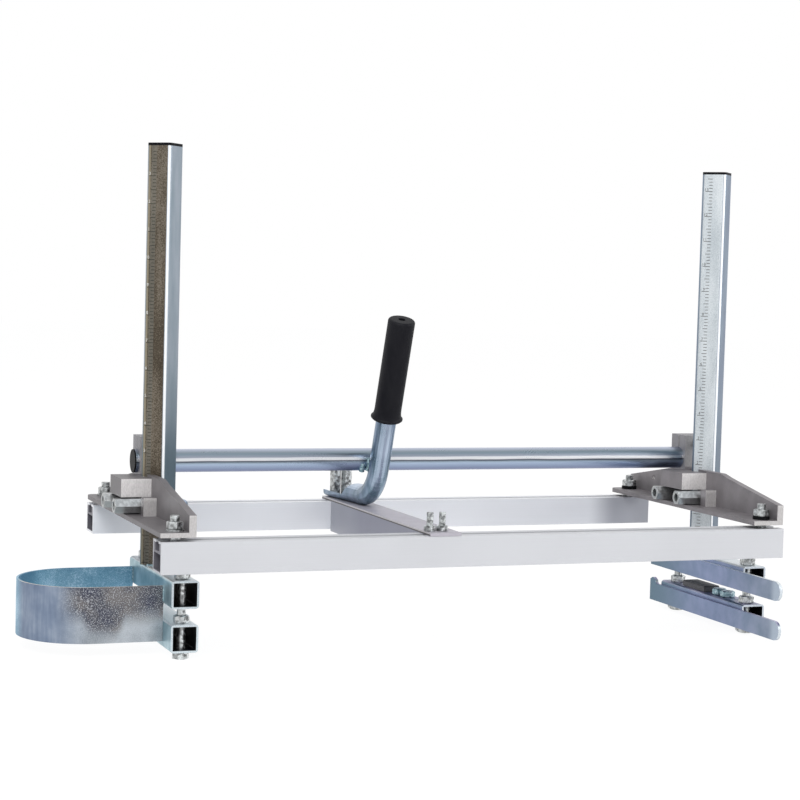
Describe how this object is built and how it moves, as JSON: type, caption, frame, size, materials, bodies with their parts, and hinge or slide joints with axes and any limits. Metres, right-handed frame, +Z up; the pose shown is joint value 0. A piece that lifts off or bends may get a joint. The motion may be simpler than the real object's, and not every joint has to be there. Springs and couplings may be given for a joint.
{
  "type": "chainsaw mill",
  "caption": "Frame of slotted rails, end brackets and clamped depth posts whose screw jaws hold a chainsaw's guide bar flat for sawing planks.",
  "frame": {"origin": "centre of the bounding box at the base, in the plane of the jaw bolts' lowest heads", "axes": "+X along the rails towards the end with the flat side bars, +Y from the front rail to the rear rail, +Z up along the posts"},
  "size_m": [0.7343, 0.315, 0.4589],
  "materials": {
    "rail": "satin anodised extrusion",
    "bracket": "mill finish with pale saw-cut ends",
    "block": "mill finish with pale saw-cut ends",
    "zinc": "bright zinc plating",
    "post": "bright zinc plating with an engraved scale",
    "jaw": "bright zinc plating with a blue cast",
    "rubber": "moulded, smooth",
    "cap": "moulded",
    "washer": "black oxide"
  },
  "bodies": {
    "frame": {"rail_front": "rail", "rail_rear": "rail", "centre_brace": "bracket", "brace_bolts": "zinc", "brace_nuts": "zinc", "brace_foot_nuts": "zinc", "handle_tube": "zinc", "handle_grip": "rubber", "cross_tube": "zinc", "cross_tube_plugs": "cap"},
    "left_end": {"bracket_left": "bracket", "bracket_bolts_left": "zinc", "bracket_washers_left": "washer", "bracket_nuts_left": "zinc", "u_bolt_left": "zinc", "lock_washers_left": "zinc", "tube_clamp_left": "block", "seat_screw_left": "zinc"},
    "left_post": {"post_left": "post", "post_cap_left": "cap", "upper_jaw_left": "jaw", "nose_guard": "jaw"},
    "left_jaw": {"lower_jaw_left": "jaw", "jaw_bolts_left": "zinc", "jaw_lock_nuts_left": "zinc", "jaw_washers_left": "zinc"},
    "left_pinch_screw": {"pinch_screw_left": "zinc"},
    "left_front_lock_nut": {"lock_nut_left_front": "zinc"},
    "left_rear_lock_nut": {"lock_nut_left_rear": "zinc"},
    "left_front_jaw_nut": {"jaw_nut_left_front": "zinc"},
    "left_rear_jaw_nut": {"jaw_nut_left_rear": "zinc"},
    "right_end": {"bracket_right": "bracket", "bracket_bolts_right": "zinc", "bracket_washers_right": "washer", "bracket_nuts_right": "zinc", "u_bolt_right": "zinc", "lock_washers_right": "zinc", "tube_clamp_right": "block", "seat_screw_right": "zinc"},
    "right_post": {"post_right": "post", "post_cap_right": "cap", "upper_jaw_right": "jaw", "upper_bar_right": "jaw"},
    "right_jaw": {"lower_jaw_right": "jaw", "jaw_bolts_right": "zinc", "jaw_lock_nuts_right": "zinc", "lower_bar_right": "jaw"},
    "right_pinch_screw": {"pinch_screw_right": "zinc"},
    "right_front_lock_nut": {"lock_nut_right_front": "zinc"},
    "right_rear_lock_nut": {"lock_nut_right_rear": "zinc"},
    "right_front_jaw_nut": {"jaw_nut_right_front": "zinc"},
    "right_rear_jaw_nut": {"jaw_nut_right_rear": "zinc"}
  },
  "joints": [
    {"name": "left_end_slide", "type": "slide", "parent": "frame", "child": "left_end", "axis": [1, 0, 0], "range_m": [0, 0.18]},
    {"name": "left_depth", "type": "slide", "parent": "left_end", "child": "left_post", "axis": [0, 0, 1], "range_m": [-0.3, 0.012]},
    {"name": "left_clamp", "type": "slide", "parent": "left_post", "child": "left_jaw", "axis": [0, 0, 1], "range_m": [0, 0.007]},
    {"name": "left_pinch_turn", "type": "hinge", "parent": "left_end", "child": "left_pinch_screw", "pos_m": [-0.23516, 0.039, 0.179], "axis": [0, 1, 0], "range_deg": [-360, 0]},
    {"name": "left_front_lock_turn", "type": "hinge", "parent": "left_end", "child": "left_front_lock_nut", "pos_m": [-0.27136, -0.0066, 0.12831], "axis": [1, 0, 0], "range_deg": [-720, 0]},
    {"name": "left_rear_lock_turn", "type": "hinge", "parent": "left_end", "child": "left_rear_lock_nut", "pos_m": [-0.27136, 0.0386, 0.12831], "axis": [1, 0, 0], "range_deg": [-720, 0]},
    {"name": "left_front_jaw_nut_turn", "type": "hinge", "parent": "left_post", "child": "left_front_jaw_nut", "pos_m": [-0.23516, -0.076, 0.0739], "axis": [0, 0, 1], "range_deg": [-2026, 5]},
    {"name": "left_rear_jaw_nut_turn", "type": "hinge", "parent": "left_post", "child": "left_rear_jaw_nut", "pos_m": [-0.23516, 0.058, 0.0739], "axis": [0, 0, 1], "range_deg": [-2026, 5]},
    {"name": "right_end_slide", "type": "slide", "parent": "frame", "child": "right_end", "axis": [1, 0, 0], "range_m": [-0.26, 0]},
    {"name": "right_depth", "type": "slide", "parent": "right_end", "child": "right_post", "axis": [0, 0, 1], "range_m": [-0.3, 0.012]},
    {"name": "right_clamp", "type": "slide", "parent": "right_post", "child": "right_jaw", "axis": [0, 0, 1], "range_m": [0, 0.0058]},
    {"name": "right_pinch_turn", "type": "hinge", "parent": "right_end", "child": "right_pinch_screw", "pos_m": [0.34284, 0.039, 0.179], "axis": [0, 1, 0], "range_deg": [-360, 0]},
    {"name": "right_front_lock_turn", "type": "hinge", "parent": "right_end", "child": "right_front_lock_nut", "pos_m": [0.30664, -0.0066, 0.12831], "axis": [1, 0, 0], "range_deg": [-720, 0]},
    {"name": "right_rear_lock_turn", "type": "hinge", "parent": "right_end", "child": "right_rear_lock_nut", "pos_m": [0.30664, 0.0386, 0.12831], "axis": [1, 0, 0], "range_deg": [-720, 0]},
    {"name": "right_front_jaw_nut_turn", "type": "hinge", "parent": "right_post", "child": "right_front_jaw_nut", "pos_m": [0.34284, -0.072, 0.0709], "axis": [0, 0, 1], "range_deg": [-1680, 5]},
    {"name": "right_rear_jaw_nut_turn", "type": "hinge", "parent": "right_post", "child": "right_rear_jaw_nut", "pos_m": [0.34284, 0.0655, 0.0709], "axis": [0, 0, 1], "range_deg": [-1680, 5]}
  ],
  "couplings": [
    {"joint": "left_front_jaw_nut_turn", "follows": "left_clamp", "rad_per_m": -5026.5},
    {"joint": "left_rear_jaw_nut_turn", "follows": "left_clamp", "rad_per_m": -5026.5},
    {"joint": "right_front_jaw_nut_turn", "follows": "right_clamp", "rad_per_m": -5026.5},
    {"joint": "right_rear_jaw_nut_turn", "follows": "right_clamp", "rad_per_m": -5026.5}
  ]
}
